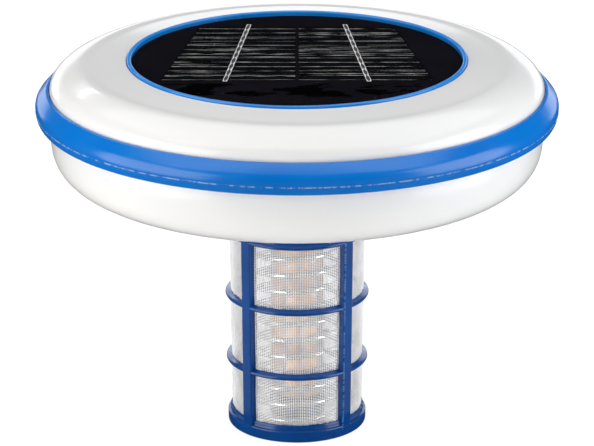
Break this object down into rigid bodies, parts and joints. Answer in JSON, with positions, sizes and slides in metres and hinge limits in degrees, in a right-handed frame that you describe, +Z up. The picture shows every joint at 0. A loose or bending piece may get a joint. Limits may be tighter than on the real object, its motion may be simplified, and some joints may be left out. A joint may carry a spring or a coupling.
{
  "type": "floating solar pool ioniser",
  "caption": "Round float with a solar panel on top and a mesh basket below that holds a copper anode inside a steel coil; the basket, coil and anode pull off downwards.",
  "frame": {"origin": "centre of the basket's foot, on the surface that the object stands on", "axes": "+Z up along the stud, towards the panel; -Y is the front, the side where the two cells' near edge lies; +X to the right of someone at the front"},
  "size_m": [0.27, 0.27, 0.2],
  "materials": {
    "white_shell": "glossy moulded white",
    "bumper_blue": "satin soft blue with a moulding line",
    "bezel_blue": "glossy moulded blue",
    "basket_blue": "glossy moulded dark blue",
    "board_black": "black board",
    "silicon": "dark cell with fine finger lines",
    "clear_cover": "clear glossy resin",
    "tinned_ribbon": "tinned copper",
    "hub_plastic": "moulded off-white",
    "seal_rubber": "matt black",
    "stainless": "bright stainless",
    "woven_steel": "plain-woven stainless wire",
    "copper": "bright copper",
    "lead_red": "red insulation",
    "lead_black": "black insulation"
  },
  "bodies": {
    "root": {"upper_shell": "white_shell", "lower_shell": "white_shell", "seam_gasket": "seal_rubber", "bumper_ring": "bumper_blue", "panel_gasket": "seal_rubber", "panel_board": "board_black", "solar_cell_left": "silicon", "solar_cell_right": "silicon", "cell_ribbon_left": "tinned_ribbon", "cell_ribbon_right": "tinned_ribbon", "panel_cover": "clear_cover", "panel_bezel": "bezel_blue", "junction_box": "board_black", "electrode_hub": "hub_plastic", "hub_seal": "seal_rubber", "hub_lock_ring": "hub_plastic", "cathode_ring": "stainless", "cathode_screw_1": "stainless", "cathode_screw_2": "stainless", "cathode_nut_1": "stainless", "cathode_nut_2": "stainless", "negative_terminal": "tinned_ribbon", "positive_terminal": "tinned_ribbon", "anode_stud": "stainless", "stud_nut": "stainless", "anode_spacer": "seal_rubber", "positive_lead": "lead_red", "negative_lead": "lead_black"},
    "anode": {"anode": "copper", "anode_nut": "stainless", "anode_washer": "stainless"},
    "coil": {"cathode_coil": "stainless"},
    "basket": {"basket_frame": "basket_blue", "basket_mesh": "woven_steel", "floor_mesh": "woven_steel"},
    "washer": {"nut_washer": "stainless"},
    "nut": {"wing_nut": "stainless"}
  },
  "joints": [
    {"name": "anode_removal", "type": "slide", "parent": "root", "child": "anode", "axis": [0, 0, -1], "range_m": [0, 0.112]},
    {"name": "coil_removal", "type": "slide", "parent": "anode", "child": "coil", "axis": [0, 0, -1], "range_m": [0, 0.113]},
    {"name": "basket_removal", "type": "slide", "parent": "coil", "child": "basket", "axis": [0, 0, -1], "range_m": [0, 0.126]},
    {"name": "nut_travel", "type": "slide", "parent": "basket", "child": "washer", "axis": [0, 0, -1], "range_m": [0, 0.0064]},
    {"name": "nut_turn", "type": "hinge", "parent": "washer", "child": "nut", "pos_m": [0, 0, 0.007], "axis": [0, 0, -1], "range_deg": [0, 2304]}
  ],
  "couplings": [
    {"joint": "nut_turn", "follows": "nut_travel", "rad_per_m": 6283.2}
  ]
}
